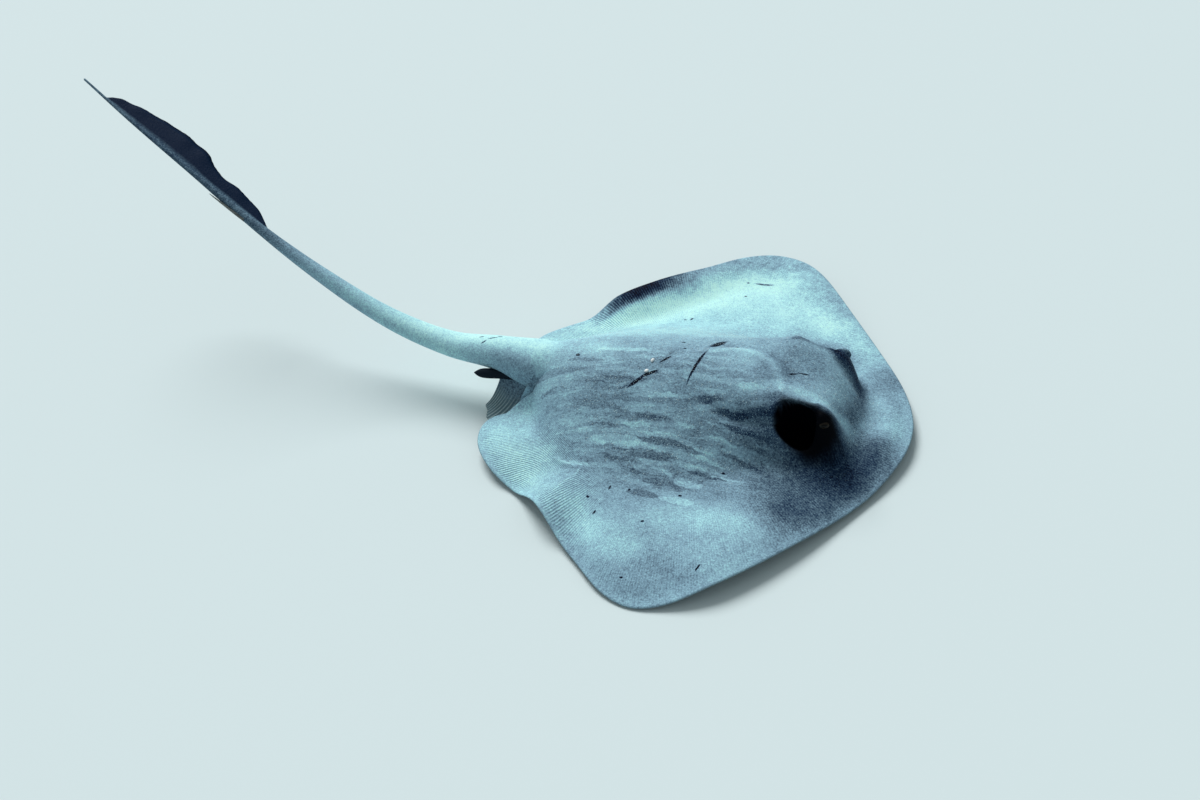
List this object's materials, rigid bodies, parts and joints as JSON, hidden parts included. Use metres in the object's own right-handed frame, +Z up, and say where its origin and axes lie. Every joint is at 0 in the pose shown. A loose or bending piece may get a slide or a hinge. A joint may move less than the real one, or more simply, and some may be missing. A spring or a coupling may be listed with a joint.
{
  "type": "cowtail stingray figure",
  "caption": "Life-size still figure of a male cowtail stingray lying on the seabed with its fold-bearing tail raised.",
  "frame": {"origin": "middle of the flat patch of belly that rests on the floor", "axes": "+X towards the head, +Y to the animal's left, +Z up"},
  "size_m": [1.9074, 0.9992, 0.5526],
  "materials": {
    "back_skin": "damp, finely grained skin",
    "wing_skin": "damp, finely grained skin",
    "tail_skin": "damp, finely grained skin",
    "fold_skin": "smooth thin skin",
    "clasper_skin": "smooth damp skin",
    "eye": "wet gloss",
    "sting_bone": "slime-coated bone"
  },
  "bodies": {
    "root": {"head": "back_skin", "trunk": "back_skin", "wing_left": "wing_skin", "wing_right": "wing_skin", "pelvic_fin_left": "back_skin", "pelvic_fin_right": "back_skin", "clasper_left": "clasper_skin", "clasper_right": "clasper_skin", "tail_base": "tail_skin", "tail_middle": "tail_skin", "tail_end": "tail_skin", "tail_fold": "fold_skin", "sting": "sting_bone", "eye_left": "eye", "eye_right": "eye"}
  },
  "joints": []
}
